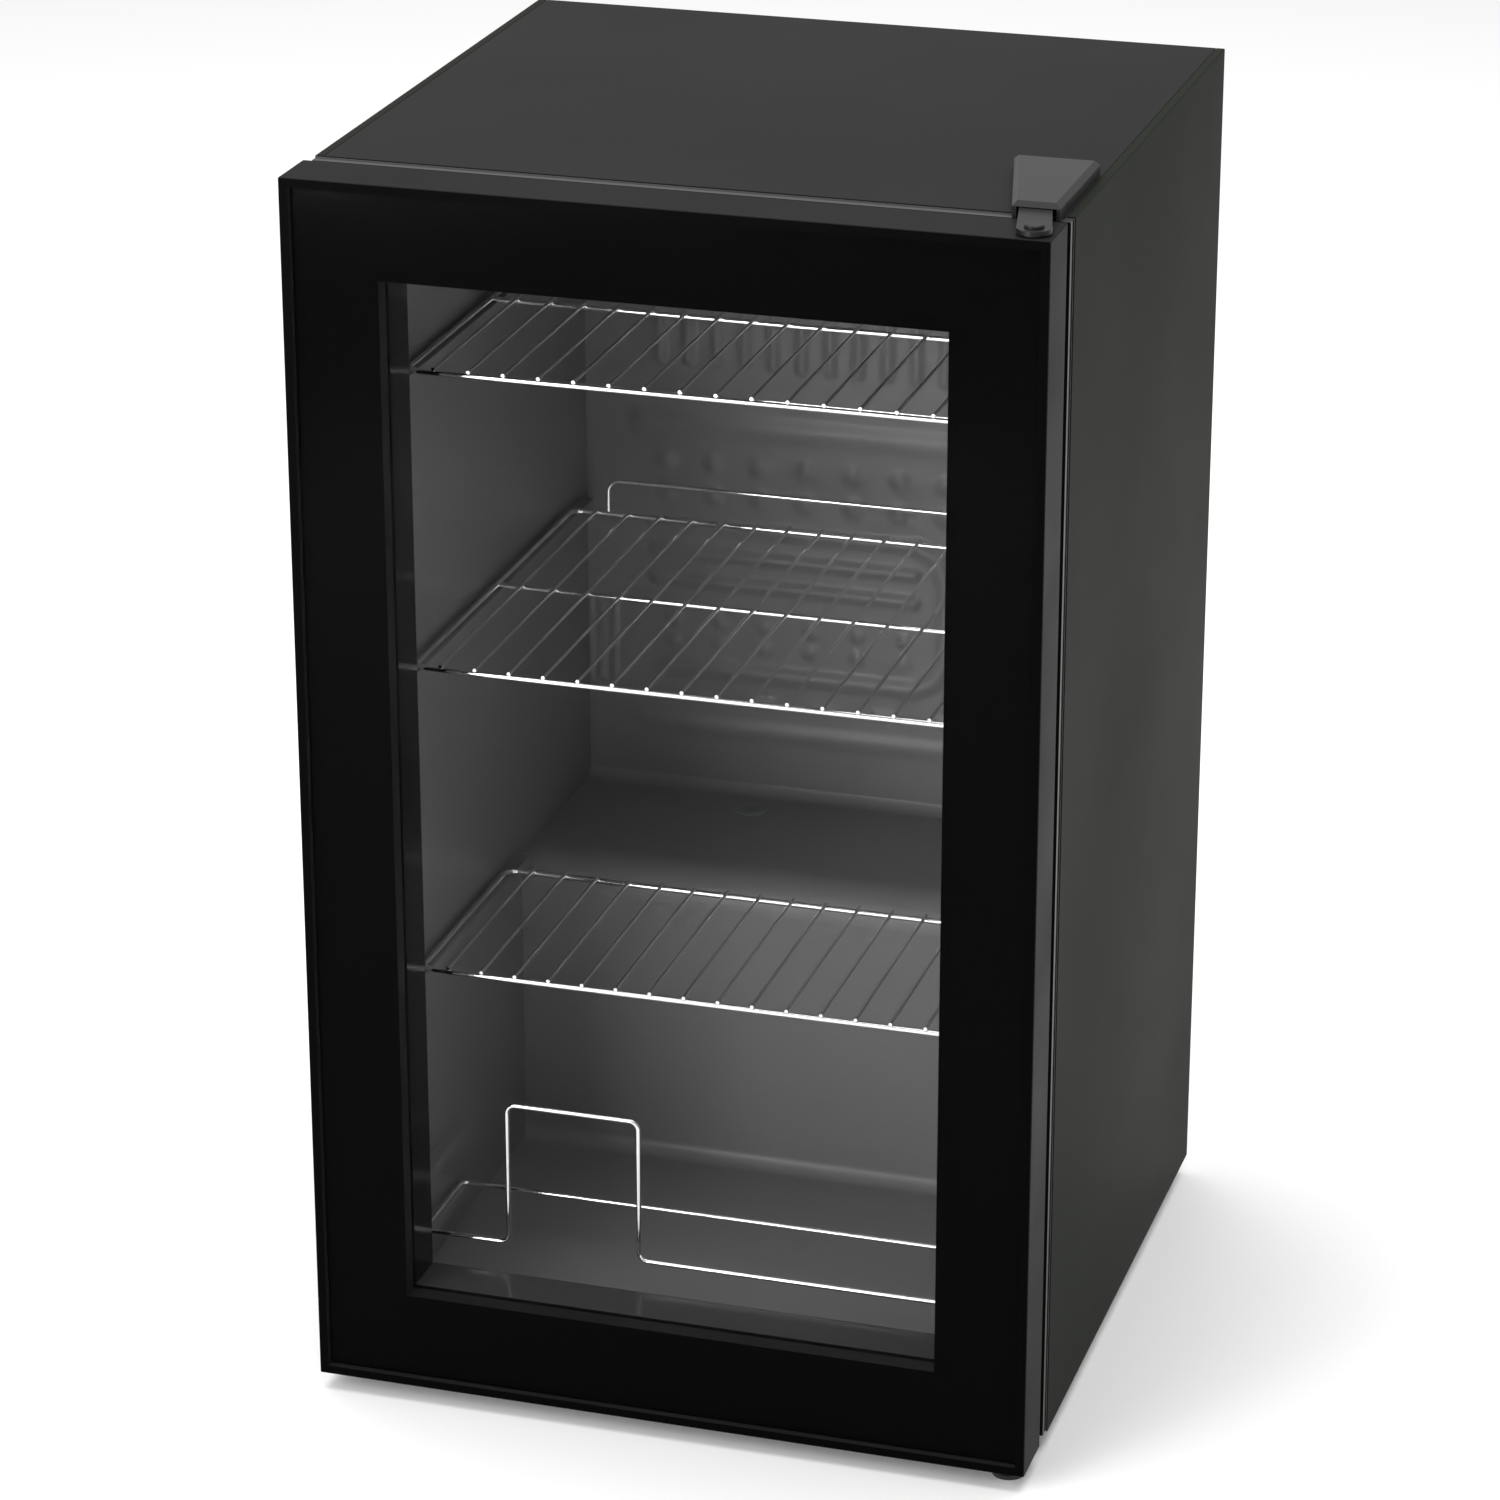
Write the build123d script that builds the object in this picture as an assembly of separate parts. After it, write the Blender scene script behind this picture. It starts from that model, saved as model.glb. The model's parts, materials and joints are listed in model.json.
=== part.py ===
from build123d import *
import os

# Compact glass door cooler, in millimetres.
# Working axes while modelling: X from the door's left edge, Y from the door's front face towards the
# back, Z from the door's bottom edge. Every node is shifted once, at export, so that the finished
# part has its origin in the middle of its footprint, at floor level.

# Overall sizes
WIDTH = 470.0
DOOR_HEIGHT = 800.0
CASE_HEIGHT = 797.5
CASE_BACK = 473.0
OVERALL_DEPTH = 495.0
FOOT_HEIGHT = 12.0

# Door, front to back
DOOR_DEPTH = 41.0
DOOR_LIP = 6.0
WINDOW_BORDER = 60.0
WINDOW_BOTTOM = 63.0
WINDOW_TOP = DOOR_HEIGHT - WINDOW_BORDER
PANE = 4.0
FRONT_PANE_FACE = 0.5
SPACER_DEPTH = 12.0
SPACER_WIDTH = 8.0
INNER_PANE_FACE = FRONT_PANE_FACE + PANE + SPACER_DEPTH
INNER_FRAME_FACE = 20.7
DAM_WIDTH = 14.0
GASKET_BACK = 52.6

# Case
FRONT_FRAME_FACE = 53.0
CASE_FRONT = 61.0
SHEET = 0.8
SEAM_INSET = 5.5
SEAM_GAP = 0.5
LINER = 1.6
WALL = 42.0
CAVITY_TOP = 755.0
CAVITY_BACK = 437.0
STEP_FRONT = 288.0
STEP_TOP = 254.0
STEP_RADIUS = 24.0
CORNER_RADIUS = 10.0
BAY_FRONT = 324.0
BAY_TOP = 206.0
SCREW_HOLE = 2.0
SCREW_SHAFT = 2.0
SCREW_HEAD_RADIUS = 4.0
SCREW_HEAD_HEIGHT = 2.2
FOAM_SCREW_HOLE = 2.5
FOAM_BACK_HOLE = 2.2
BACK_SCREWS = [(x, z) for x in (12.0, 235.0, 458.0) for z in (216.0, 500.0, 786.0)]

# Shelves: height of the frame wire's centre line
SHELF_FRONT = 80.0
SHELF_SIDE = 47.0
FRAME_WIRE = 2.0
FRAME_BEND = 9.0
CROSS_WIRE = 1.8
GRID_WIRE = 1.2
SHELVES = {
    "shelf_upper": {"height": 660.5, "back": 391.0, "cross": 236.0, "guard": True},
    "shelf_middle": {"height": 466.0, "back": 391.0, "cross": 236.0, "guard": True},
    "shelf_lower": {"height": 259.0, "back": 247.0, "cross": None, "guard": False},
}
GRID_START = 65.5
GRID_COUNT = 16
GUARD_RISE = 24.0
GUARD_WIRE = 1.5
GUARD_BEND = 8.0
WELD_GAP = 0.02
GUARD_INSET = 26.0
LEDGE_DEPTH = 9.0
LEDGE_HEIGHT = 7.0
SHELF_PLAY = 0.3

# Bottle rack
RACK_WIRE = 1.75
RACK_BEND = 6.0
RACK_HEIGHT = 75.0
RACK_FRONT = 72.0
RACK_BACK = 145.0
RACK_LOOP = (106.0, 195.0)
RACK_LOOP_TOP = 174.0
RACK_RAIL_HEIGHT = 117.0

# Hinge
HINGE_X = 457.0
HINGE_Y = 13.0
PIN_RADIUS = 4.0
PIN_CLEARANCE = 0.05
BUSH_RADIUS = 5.5
BUSH_LENGTH = 14.0
BRACKET = 3.0
TONGUE_RADIUS = 10.5
DOOR_GAP = 1.0
TOP_BRACKET_SIDES = (437.4, 457.0)
HINGE_SCREWS = [(446.5, y) for y in (82.0, 104.0, 126.0)]
BOTTOM_SCREWS = [(451.0, y) for y in (84.0, 108.0, 132.0)]

# Thermostat, switch and lamp housing under the ceiling
CONTROL_BOX = ((232.0, 400.0), (92.0, 166.0), (CAVITY_TOP - 30.0, CAVITY_TOP))
ROCKER_TILT = 8.0
DIAL_RADIUS = 11.0
DIAL_SHAFT = 3.0
DIAL_FLUTES = 12

# Feet
FOOT_RADIUS = 14.0
FOOT_PAD = 6.0
STUD_RADIUS = 4.0
FRONT_FEET = {"left": (55.0, 95.0), "right": (415.0, 95.0)}
BACK_FEET = [(40.0, 440.0), (430.0, 440.0)]

# Compressor bay
COMPRESSOR_X = 318.0
COMPRESSOR_Y = 396.0
COMPRESSOR_BASE = 20.0
COMPRESSOR_TOP = 158.0
PLATE = 1.5
MOUNT_X = 78.0
MOUNT_Y = 46.0
TUBE = 3.0
CAPILLARY = 1.0
DRIER_RADIUS = 7.5
MOUNT_FOOT = 10.0
MOUNT_NECK = 6.0
MOUNT_HEAD = 9.0
MOUNT_BOLT = 3.0
CONDENSER_Y = 487.0
CONDENSER_TUBE = 2.4
CONDENSER_WIRE = 0.8
CONDENSER_LEFT = 35.0
CONDENSER_RIGHT = 435.0
CONDENSER_LOW = 262.0
CONDENSER_PITCH = 52.0
CONDENSER_RUNS = 10
CONDENSER_WIRE_COUNT = 25
SUCTION_STUB = (COMPRESSOR_X - 18.0, COMPRESSOR_Y + 62.0, 110.0)
DISCHARGE_STUB = (COMPRESSOR_X + 84.0, COMPRESSOR_Y + 10.0, 104.0)
GLAND_X = 60.0
GLAND_Z = 18.0

# Evaporator, its tube entry, and the drain
EVAPORATOR_SHEET = 1.4
EVAPORATOR_POCKET = ((62.0, 408.0), (CAVITY_BACK + LINER, CAVITY_BACK + LINER + 5.0), (272.0, 738.0))
TUBE_ENTRY = (110.0, 290.0)
TUBE_ENTRY_RADIUS = 9.0
DRAIN_X = 169.0
DRAIN_Y = 406.0
DRAIN_SPOUT = 7.0
TRAY_TOP = 178.0

SHOP_TO_PART = Location((-WIDTH / 2, -OVERALL_DEPTH / 2, FOOT_HEIGHT))
NODES = {}


def block(x, y, z):
    """Box between two corners, each axis given as (low, high)."""
    size = Box(x[1] - x[0], y[1] - y[0], z[1] - z[0])
    return Pos((x[0] + x[1]) / 2, (y[0] + y[1]) / 2, (z[0] + z[1]) / 2) * size


def post(x, y, z, radius):
    """Upright cylinder, z given as (low, high)."""
    return Pos(x, y, (z[0] + z[1]) / 2) * Cylinder(radius, z[1] - z[0])


def bar_x(x, y, z, radius):
    """Cylinder along X, x given as (low, high)."""
    return Pos((x[0] + x[1]) / 2, y, z) * Rot(0, 90, 0) * Cylinder(radius, x[1] - x[0])


def bar_y(x, y, z, radius):
    """Cylinder along Y, y given as (low, high)."""
    return Pos(x, (y[0] + y[1]) / 2, z) * Rot(90, 0, 0) * Cylinder(radius, y[1] - y[0])


def ring(x, y, z, inner_x, inner_z):
    """Upright rectangular ring, open along Y."""
    hole = block(inner_x, (y[0] - 1, y[1] + 1), inner_z)
    return block(x, y, z) - hole


def tube(points, radius, bend):
    """Round tube or wire along straight runs joined by arcs."""
    path = FilletPolyline(*points, radius=bend)
    section = Plane(origin=path @ 0, z_dir=path % 0) * Circle(radius)
    return sweep(section, path=path)


def plate(outline, z):
    """Flat plate with a polygon outline, z given as (low, high)."""
    face = make_face(Polyline(*outline, close=True))
    return Pos(0, 0, z[0]) * extrude(face, amount=z[1] - z[0])


def screw(x, y, z, shaft):
    """Pan head screw whose head rests on height z and whose shaft goes down."""
    head = post(x, y, (z, z + SCREW_HEAD_HEIGHT), SCREW_HEAD_RADIUS)
    head = fillet(head.edges().sort_by(Axis.Z)[-1], 1.2)
    slots = block((x - 2.2, x + 2.2), (y - 0.5, y + 0.5), (z + 1.2, z + 3))
    slots += block((x - 0.5, x + 0.5), (y - 2.2, y + 2.2), (z + 1.2, z + 3))
    return head + post(x, y, (z - shaft, z), SCREW_SHAFT) - slots


def keep(name, shape):
    NODES[name] = shape


# ---------------------------------------------------------------- case sheets

def side_panel(left):
    near, far = (0.0, SHEET) if left else (WIDTH - SHEET, WIDTH)
    flange = (0.0, SEAM_INSET) if left else (WIDTH - SEAM_INSET, WIDTH)
    sheet = block((near, far), (CASE_FRONT, CASE_BACK), (0.0, CASE_HEIGHT))
    sheet += block(flange, (CASE_FRONT, CASE_BACK), (CASE_HEIGHT - SHEET, CASE_HEIGHT))
    outer_edge = 0.0 if left else WIDTH
    corner = [e for e in sheet.edges().filter_by(Axis.Y)
              if abs(e.center().X - outer_edge) < 0.01 and abs(e.center().Z - CASE_HEIGHT) < 0.01]
    return fillet(corner, 0.7)


def make_case():
    keep("side_panel_left", side_panel(True))
    keep("side_panel_right", side_panel(False))
    seam = SEAM_INSET + SEAM_GAP
    inside = (SHEET, WIDTH - SHEET)
    top = block((seam, WIDTH - seam), (CASE_FRONT, CASE_BACK), (CASE_HEIGHT - SHEET, CASE_HEIGHT))
    for x, y in HINGE_SCREWS:
        top -= post(x, y, (CASE_HEIGHT - 5, CASE_HEIGHT + 5), SCREW_HOLE)
    keep("top_panel", top)

    panel_top = CASE_HEIGHT - SHEET
    back = block(inside, (CASE_BACK - SHEET, CASE_BACK), (BAY_TOP, panel_top))
    back -= bar_y(TUBE_ENTRY[0], (CASE_BACK - 5, CASE_BACK + 5), TUBE_ENTRY[1], TUBE_ENTRY_RADIUS)
    for x, z in BACK_SCREWS:
        back -= bar_y(x, (CASE_BACK - 5, CASE_BACK + 5), z, SCREW_HOLE)
    keep("back_panel", back)

    base = block(inside, (CASE_FRONT, BAY_FRONT - SHEET), (0.0, SHEET))
    for x, y in FRONT_FEET.values():
        base -= post(x, y, (-1, 2), STUD_RADIUS + PIN_CLEARANCE)
    for x, y in BOTTOM_SCREWS:
        base -= post(x, y, (-1, 2), SCREW_HOLE)
    keep("base_plate", base)

    bay = block(inside, (BAY_FRONT - SHEET, CASE_BACK - SHEET), (BAY_TOP - SHEET, BAY_TOP))
    bay += block(inside, (BAY_FRONT - SHEET, BAY_FRONT), (0.0, BAY_TOP))
    bay -= post(DRAIN_X, DRAIN_Y, (BAY_TOP - 5, BAY_TOP + 5), DRAIN_SPOUT)
    keep("bay_panel", bay)

    frame = ring((1.0, WIDTH - 1.0), (FRONT_FRAME_FACE, CASE_FRONT), (1.0, CASE_HEIGHT - 1.0),
                 (WALL, WIDTH - WALL), (WALL, CAVITY_TOP))
    keep("front_frame", frame)


def cavity(grow):
    """The food space, grown outwards by the given amount and open at the case's front."""
    near, low = CASE_FRONT - 1, WALL - grow
    step_y, step_z = STEP_FRONT + grow, STEP_TOP - grow
    back, high = CAVITY_BACK + grow, CAVITY_TOP + grow
    outline = [(near, low), (step_y, low), (step_y, step_z), (back, step_z), (back, high), (near, high)]
    face = make_face(Polyline(*[(0, y, z) for y, z in outline], close=True))
    solid = extrude(face, amount=WIDTH - 2 * WALL + 2 * grow, dir=(1, 0, 0))
    solid = Pos(WALL - grow, 0, 0) * solid
    step_edge = [e for e in solid.edges().filter_by(Axis.X)
                 if abs(e.center().Y - step_y) < 0.01 and abs(e.center().Z - step_z) < 0.01]
    solid = fillet(step_edge, STEP_RADIUS + grow)
    hollow_edges = [e for e in solid.edges().filter_by(Axis.X)
                    if e.center().Y > near + 1
                    and abs(e.center().Z - step_z) + abs(e.center().Y - back) < 0.01
                    or abs(e.center().Z - low) + abs(e.center().Y - step_y) < 0.01
                    or abs(e.center().Z - high) + abs(e.center().Y - back) < 0.01]
    return fillet(hollow_edges, CORNER_RADIUS + grow)


def make_liner():
    inner = cavity(0.0)
    outer = cavity(LINER)
    shell = outer - inner
    shell -= block((0, WIDTH), (0, CASE_FRONT), (0, DOOR_HEIGHT))
    flange = ring((SHEET, WIDTH - SHEET), (CASE_FRONT, CASE_FRONT + LINER), (SHEET, CASE_HEIGHT - SHEET),
                  (WALL, WIDTH - WALL), (WALL, CAVITY_TOP))
    shell += flange
    ledges = []
    for name, shelf in SHELVES.items():
        top = shelf["height"] - FRAME_WIRE - SHELF_PLAY
        end = STEP_FRONT - 4 if name == "shelf_lower" else 425.0
        ledges.append((top, (75.0, end)))
    ledges.append((RACK_HEIGHT - RACK_WIRE, (RACK_FRONT - 6, RACK_BACK + 6)))
    ledges.append((RACK_RAIL_HEIGHT, (84.0, 139.0)))
    for top, span in ledges:
        for side in (WALL - 1, WIDTH - WALL - LEDGE_DEPTH):
            ledge = block((side, side + LEDGE_DEPTH + 1), span, (top - LEDGE_HEIGHT, top))
            shell += ledge
    shell -= post(DRAIN_X, DRAIN_Y, (STEP_TOP - 20, STEP_TOP + 20), DRAIN_SPOUT)
    keep("inner_liner", shell)


def make_foam():
    inside = (SHEET, WIDTH - SHEET)
    front = CASE_FRONT + LINER
    foam = block(inside, (front, CASE_BACK - SHEET), (SHEET, CASE_HEIGHT - SHEET))
    foam -= cavity(LINER)
    foam -= block((0, WIDTH), (BAY_FRONT - SHEET, CASE_BACK), (0, BAY_TOP))
    x, y, z = EVAPORATOR_POCKET
    foam -= block(x, y, z)
    for foot_x, foot_y in FRONT_FEET.values():
        foam -= post(foot_x, foot_y, (0, 32), 10.0)
    for hole_x, hole_y in HINGE_SCREWS:
        foam -= post(hole_x, hole_y, (CASE_HEIGHT - 16, CASE_HEIGHT), FOAM_SCREW_HOLE)
    for hole_x, hole_y in BOTTOM_SCREWS:
        foam -= post(hole_x, hole_y, (0, 16), FOAM_SCREW_HOLE)
    for hole_x, hole_z in BACK_SCREWS:
        foam -= bar_y(hole_x, (CASE_BACK - 14, CASE_BACK), hole_z, FOAM_BACK_HOLE)
    foam -= post(DRAIN_X, DRAIN_Y, (BAY_TOP - 5, STEP_TOP), DRAIN_SPOUT)
    foam -= bar_y(TUBE_ENTRY[0], (CAVITY_BACK, CASE_BACK), TUBE_ENTRY[1], TUBE_ENTRY_RADIUS)
    keep("cabinet_foam", foam)


# ---------------------------------------------------------------- refrigeration inside the wall

def make_evaporator():
    x, y, z = EVAPORATOR_POCKET
    sheet = block((x[0] + 2, x[1] - 2), (y[0], y[0] + EVAPORATOR_SHEET), (z[0] + 2, z[1] - 2))
    ridge_y = (y[0] + 1.0, y[0] + 3.4)
    runs = []
    rows = [z[0] + 60 + index * 42 for index in range(9)]
    for row in rows:
        runs.append(block((x[0] + 30, x[1] - 30), ridge_y, (row, row + 9)))
    for index in range(len(rows) - 1):
        end = x[1] - 39 if index % 2 == 0 else x[0] + 30
        runs.append(block((end, end + 9), ridge_y, (rows[index], rows[index + 1] + 9)))
    keep("evaporator_plate", sheet + runs)


def make_drain():
    top = STEP_TOP - LINER
    spout = post(DRAIN_X, DRAIN_Y, (BAY_TOP - 16, top), DRAIN_SPOUT)
    rim = post(DRAIN_X, DRAIN_Y, (STEP_TOP, STEP_TOP + 1.2), DRAIN_SPOUT + 4)
    neck = post(DRAIN_X, DRAIN_Y, (top, STEP_TOP), DRAIN_SPOUT)
    bore = post(DRAIN_X, DRAIN_Y, (BAY_TOP - 20, STEP_TOP + 5), DRAIN_SPOUT - 2)
    keep("drain_fitting", spout + neck + rim - bore)
    hose = post(DRAIN_X, DRAIN_Y, (TRAY_TOP - 14, BAY_TOP - 4), DRAIN_SPOUT + 1.5)
    hose -= post(DRAIN_X, DRAIN_Y, (TRAY_TOP - 20, BAY_TOP), DRAIN_SPOUT)
    keep("drain_hose", hose)


# ---------------------------------------------------------------- shelves and rack

def wire_shelf(back, cross, guard):
    """One shelf, its frame wire's centre line at height 0, with any guard as a second solid."""
    left, right = SHELF_SIDE, WIDTH - SHELF_SIDE
    corners = [(left, SHELF_FRONT), (right, SHELF_FRONT), (right, back), (left, back)]
    path = FilletPolyline(*[(x, y, 0) for x, y in corners], radius=FRAME_BEND, close=True)
    section = Plane(origin=path @ 0, z_dir=path % 0) * Circle(FRAME_WIRE)
    frame = sweep(section, path=path)
    bars = []
    if cross:
        bars.append(bar_x((left, right), cross, 0, CROSS_WIRE))
    pitch = (WIDTH - 2 * GRID_START) / (GRID_COUNT - 1)
    grid_height = FRAME_WIRE + GRID_WIRE - 0.5
    for index in range(GRID_COUNT):
        x = GRID_START + index * pitch
        bars.append(bar_y(x, (SHELF_FRONT - 1.5, back + 1.5), grid_height, GRID_WIRE))
    grid = frame + bars
    if not guard:
        return grid
    near, far = left + GUARD_INSET, right - GUARD_INSET
    foot = FRAME_WIRE + WELD_GAP
    points = [(near, back, foot), (near, back, GUARD_RISE), (far, back, GUARD_RISE), (far, back, foot)]
    return Compound(children=[grid, tube(points, GUARD_WIRE, GUARD_BEND)])


def make_shelves():
    for name, shelf in SHELVES.items():
        grid = wire_shelf(shelf["back"], shelf["cross"], shelf["guard"])
        keep(name, grid.moved(Location((0, 0, shelf["height"]))))

    left, right = SHELF_SIDE, WIDTH - SHELF_SIDE
    points = [
        (RACK_LOOP[1], RACK_FRONT, RACK_HEIGHT),
        (RACK_LOOP[1], RACK_FRONT, RACK_LOOP_TOP),
        (RACK_LOOP[0], RACK_FRONT, RACK_LOOP_TOP),
        (RACK_LOOP[0], RACK_FRONT, RACK_HEIGHT),
        (left, RACK_FRONT, RACK_HEIGHT),
        (left, RACK_BACK, RACK_HEIGHT),
        (right, RACK_BACK, RACK_HEIGHT),
        (right, RACK_FRONT, RACK_HEIGHT),
    ]
    path = FilletPolyline(*points, radius=RACK_BEND, close=True)
    section = Plane(origin=path @ 0, z_dir=path % 0) * Circle(RACK_WIRE)
    keep("bottle_rack", sweep(section, path=path))


# ---------------------------------------------------------------- controls and lamp under the ceiling

def make_controls():
    x, y, z = CONTROL_BOX
    wall = 2.0
    housing = block(x, y, z)
    front_edges = housing.edges().filter_by(Axis.X).sort_by(Axis.Z)[:2]
    housing = fillet(front_edges, 6.0)
    housing -= block((x[0] + wall, x[1] - wall), (y[0] + wall, y[1] - wall), (z[0] + wall, z[1] + 1))
    dial_x, switch_x, middle = x[0] + 32, x[0] + 78, (z[0] + z[1]) / 2 + 2
    housing -= bar_y(dial_x, (y[0] - 1, y[0] + wall + 1), middle, DIAL_SHAFT + PIN_CLEARANCE)
    housing -= block((switch_x - 9.3, switch_x + 9.3), (y[0] - 1, y[0] + wall + 1),
                     (middle - 6.3, middle + 6.3))
    lens_x = (x[0] + 110, x[1] - 8)
    lens_y = (y[0] + 14, y[1] - 14)
    housing -= block(lens_x, lens_y, (z[0] - 1, z[0] + wall + 1))
    keep("control_housing", housing)

    dial = bar_y(dial_x, (y[0] - 12, y[0] - 0.4), middle, DIAL_RADIUS)
    dial = fillet(dial.edges().sort_by(Axis.Y)[0], 1.5)
    flutes = []
    for index in range(DIAL_FLUTES):
        turn = Rot(0, index * 360 / DIAL_FLUTES, 0)
        flute = Pos(dial_x, y[0] - 7, middle) * turn * Pos(DIAL_RADIUS + 0.4, 0, 0)
        flutes.append(flute * Rot(90, 0, 0) * Cylinder(1.2, 14))
    dial -= flutes
    dial += bar_y(dial_x, (y[0] - 1, y[0] + 9.0), middle, DIAL_SHAFT)
    keep("thermostat_dial", dial)

    body = block((dial_x - 17, dial_x + 17), (y[0] + 10.0, y[0] + 34), (middle - 9, middle + 9))
    keep("thermostat_body", body)

    pivot = Pos(switch_x, y[0] + 4.0, middle)
    rocker = block((-9, 9), (-6, 3), (-5.6, 5.6))
    rocker -= bar_x((-15, 15), -15.0, 0.0, 10.5)
    rocker &= bar_x((-15, 15), 0.0, 0.0, 8.0)
    keep("light_switch", pivot * Rot(-ROCKER_TILT, 0, 0) * rocker)
    switch_body = block((switch_x - 8, switch_x + 8), (y[0] + 12.5, y[0] + 26), (middle - 7, middle + 7))
    keep("switch_body", switch_body)

    lens = block(lens_x, lens_y, (z[0], z[0] + 1.5))
    lens += block((lens_x[0] - 3, lens_x[1] + 3), (lens_y[0] - 3, lens_y[1] + 3),
                  (z[0] + wall, z[0] + wall + 1.2))
    lens += block(lens_x, lens_y, (z[0] + 1.5, z[0] + wall))
    keep("lamp_lens", lens)
    board = block((lens_x[0] + 2, lens_x[1] - 2), (lens_y[0] + 4, lens_y[1] - 4), (z[1] - 3.0, z[1] - 1.4))
    for index in range(4):
        led_x = lens_x[0] + 9 + index * 9.5
        board += block((led_x - 1.6, led_x + 1.6), (y[0] + 34, y[0] + 37.2), (z[1] - 4.2, z[1] - 2.8))
    keep("lamp_board", board)


# ---------------------------------------------------------------- door

def make_door():
    inside = (DOOR_LIP, WIDTH - DOOR_LIP)
    inside_z = (DOOR_LIP, DOOR_HEIGHT - DOOR_LIP)
    frame = block((0, WIDTH), (0, DOOR_DEPTH), (0, DOOR_HEIGHT))
    frame = fillet(frame.edges(), 1.0)
    frame -= block(inside, (-1, DOOR_DEPTH + 1), inside_z)
    pane_back = FRONT_PANE_FACE + PANE
    frame += ring(inside, (pane_back + 0.1, pane_back + 2.4), inside_z,
                  (DOOR_LIP + 12, WIDTH - DOOR_LIP - 12), (DOOR_LIP + 12, DOOR_HEIGHT - DOOR_LIP - 12))
    for z in ((DOOR_HEIGHT - DOOR_LIP - 1, DOOR_HEIGHT + 1), (-1, DOOR_LIP + 1)):
        frame -= post(HINGE_X, HINGE_Y, z, BUSH_RADIUS)
    keep("door_frame", frame)

    edge = DOOR_LIP + 0.3
    pane = block((edge, WIDTH - edge), (FRONT_PANE_FACE, pane_back), (edge, DOOR_HEIGHT - edge))
    keep("front_glass", pane)
    window_x = (WINDOW_BORDER, WIDTH - WINDOW_BORDER)
    window_z = (WINDOW_BOTTOM, WINDOW_TOP)
    spacer = ring((window_x[0] - SPACER_WIDTH, window_x[1] + SPACER_WIDTH), (pane_back, INNER_PANE_FACE),
                  (window_z[0] - SPACER_WIDTH, window_z[1] + SPACER_WIDTH), window_x, window_z)
    keep("glass_spacer", spacer)
    keep("inner_glass", block((30, WIDTH - 30), (INNER_PANE_FACE, INNER_PANE_FACE + PANE),
                              (33, DOOR_HEIGHT - 30)))

    skin = 2.5
    outer_x = (edge, WIDTH - edge)
    outer_z = (edge, DOOR_HEIGHT - edge)
    inner = ring(outer_x, (INNER_FRAME_FACE, DOOR_DEPTH), outer_z, window_x, window_z)
    pocket_x = (edge + skin, WIDTH - edge - skin)
    pocket_z = (edge + skin, DOOR_HEIGHT - edge - skin)
    core_x = (window_x[0] - skin, window_x[1] + skin)
    core_z = (window_z[0] - skin, window_z[1] + skin)
    inner -= ring(pocket_x, (INNER_FRAME_FACE - 1, DOOR_DEPTH - skin), pocket_z, core_x, core_z)
    dam = ring((window_x[0] - DAM_WIDTH, window_x[1] + DAM_WIDTH), (DOOR_DEPTH - 0.5, GASKET_BACK),
               (window_z[0] - DAM_WIDTH, window_z[1] + DAM_WIDTH), window_x, window_z)
    inner += dam
    keep("door_inner_frame", inner)

    seal_out, seal_in, slot_out, slot_in = 16.0, 36.0, 20.0, 32.0
    top = CASE_HEIGHT
    gasket = ring((seal_out, WIDTH - seal_out), (DOOR_DEPTH, GASKET_BACK), (seal_out, top - seal_out),
                  (seal_in, WIDTH - seal_in), (seal_in, top - seal_in))
    slot = ring((slot_out, WIDTH - slot_out), (GASKET_BACK - 3.6, GASKET_BACK + 1),
                (slot_out, top - slot_out), (slot_in, WIDTH - slot_in), (slot_in, top - slot_in))
    keep("door_gasket", gasket - slot)
    inset = 0.2
    magnet = ring((slot_out + inset, WIDTH - slot_out - inset), (GASKET_BACK - 3.6, GASKET_BACK - 0.2),
                  (slot_out + inset, top - slot_out - inset),
                  (slot_in - inset, WIDTH - slot_in + inset), (slot_in - inset, top - slot_in + inset))
    keep("gasket_magnet", magnet)

    bush_top = post(HINGE_X, HINGE_Y, (DOOR_HEIGHT - BUSH_LENGTH, DOOR_HEIGHT), BUSH_RADIUS)
    bush_top += post(HINGE_X, HINGE_Y, (DOOR_HEIGHT, DOOR_HEIGHT + 0.6), BUSH_RADIUS + 2)
    bore = post(HINGE_X, HINGE_Y, (-20, DOOR_HEIGHT + 20), PIN_RADIUS + PIN_CLEARANCE)
    keep("top_hinge_bush", bush_top - bore)
    bush_low = post(HINGE_X, HINGE_Y, (0, BUSH_LENGTH), BUSH_RADIUS)
    bush_low += post(HINGE_X, HINGE_Y, (-0.6, 0), BUSH_RADIUS + 2)
    keep("bottom_hinge_bush", bush_low - bore)


# ---------------------------------------------------------------- hinges

def hinge_plate(back_y, flat_z, tongue_z, left, right):
    """Bracket with a joggle: a flat flange on the case and a raised tongue round the pin."""
    tongue = plate([
        (HINGE_X - TONGUE_RADIUS, HINGE_Y),
        (HINGE_X + TONGUE_RADIUS, HINGE_Y),
        (right, CASE_FRONT - 4),
        (right, CASE_FRONT + 8),
        (left, CASE_FRONT + 8),
        (left, CASE_FRONT - 4),
    ], tongue_z)
    tongue += post(HINGE_X, HINGE_Y, tongue_z, TONGUE_RADIUS)
    low, high = min(flat_z[0], tongue_z[0]), max(flat_z[1], tongue_z[1])
    joggle = block((left, right), (CASE_FRONT + 5, CASE_FRONT + 8), (low, high))
    flange = block((left, right), (CASE_FRONT + 5, back_y), flat_z)
    return tongue + joggle + flange


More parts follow.
